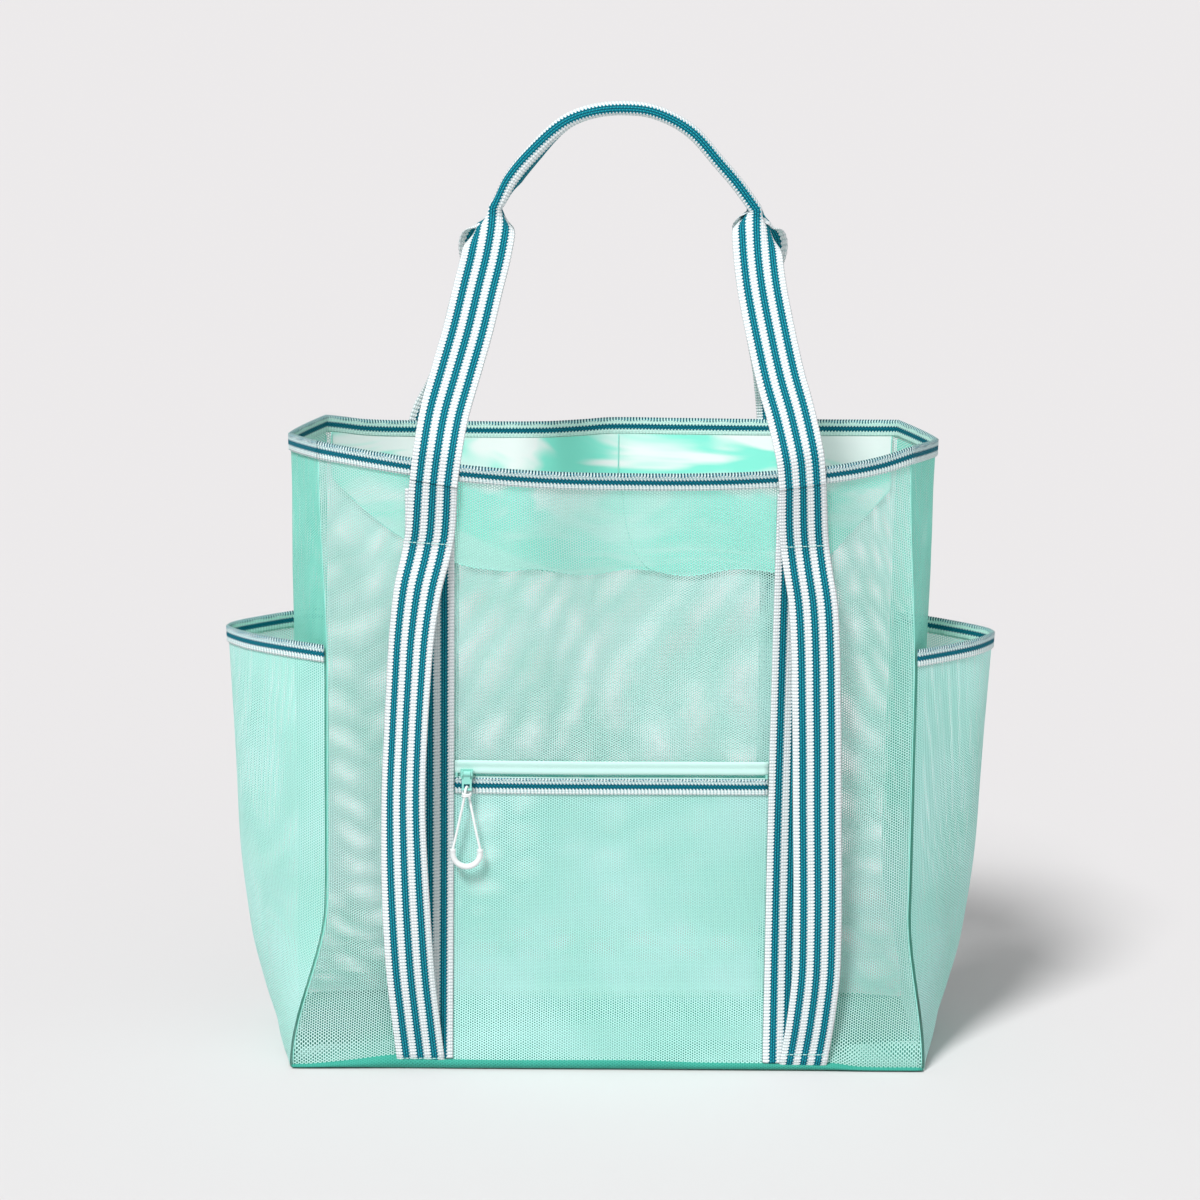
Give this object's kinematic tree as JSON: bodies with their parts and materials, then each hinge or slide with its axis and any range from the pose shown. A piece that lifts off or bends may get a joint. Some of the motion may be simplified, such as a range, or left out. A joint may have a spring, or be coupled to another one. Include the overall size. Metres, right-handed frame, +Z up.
{
  "type": "beach bag",
  "caption": "Open-topped mesh beach bag with striped webbing handles and loose shoulder straps, side pockets and a zipped front pocket.",
  "frame": {"origin": "centre of the underside of the base, on the floor", "axes": "+Z up, +X to the wearer's right as seen from the front, and the front with the zipped pocket faces -Y"},
  "size_m": [0.6134, 0.2229, 0.757],
  "materials": {
    "net": "fine knitted net",
    "base_cloth": "doubled net, dense",
    "seam": "folded seam edge",
    "ribbon": "ribbed ribbon with teal stripes",
    "lining": "smooth woven lining, softly mottled",
    "zip_tape": "plain woven tape",
    "zip_coil": "moulded nylon coil",
    "zip_metal": "satin lacquer",
    "webbing": "ribbed webbing, white with teal stripes",
    "thread": "sewing thread",
    "cord": "smooth braided cord",
    "pull_plastic": "smooth moulded"
  },
  "bodies": {
    "bag": {"base_panel": "base_cloth", "front_panel": "net", "right_gusset": "net", "back_panel": "net", "left_gusset": "net", "seam_piping": "seam", "rim_binding": "ribbon", "left_pocket": "net", "right_pocket": "net", "left_pocket_binding": "ribbon", "right_pocket_binding": "ribbon", "inner_pocket": "lining", "front_pocket_panel": "net", "front_pocket_binding": "ribbon", "zip_lower_tape": "zip_tape", "zip_upper_tape": "zip_tape", "zip_lower_coil": "zip_coil", "zip_upper_coil": "zip_coil", "zip_stops": "zip_metal", "front_left_webbing": "webbing", "front_right_webbing": "webbing", "back_left_webbing": "webbing", "back_right_webbing": "webbing", "front_left_strap": "webbing", "front_right_strap": "webbing", "webbing_stitches": "thread"},
    "front_handle": {"front_handle": "webbing"},
    "back_handle": {"back_handle": "webbing"},
    "zip_slider": {"zip_slider": "zip_metal"},
    "zip_puller": {"zip_puller": "zip_metal"},
    "pull_loop": {"pull_cord": "cord", "pull_end": "pull_plastic"}
  },
  "joints": [
    {"name": "front_handle_fold", "type": "hinge", "parent": "bag", "child": "front_handle", "pos_m": [0, -0.11057, 0.4805], "axis": [1, 0, 0], "range_deg": [0, 150]},
    {"name": "back_handle_fold", "type": "hinge", "parent": "bag", "child": "back_handle", "pos_m": [0, 0.10295, 0.4805], "axis": [-1, 0, 0], "range_deg": [0, 150]},
    {"name": "zip_slide", "type": "slide", "parent": "bag", "child": "zip_slider", "axis": [1, 0, 0], "range_m": [0, 0.226]},
    {"name": "puller_tilt", "type": "hinge", "parent": "zip_slider", "child": "zip_puller", "pos_m": [-0.113, -0.08766, 0.245], "axis": [-1, 0, 0], "range_deg": [0, 120]},
    {"name": "pull_swing", "type": "hinge", "parent": "zip_puller", "child": "pull_loop", "pos_m": [-0.113, -0.08766, 0.232], "axis": [-1, 0, 0], "range_deg": [0, 60]}
  ]
}
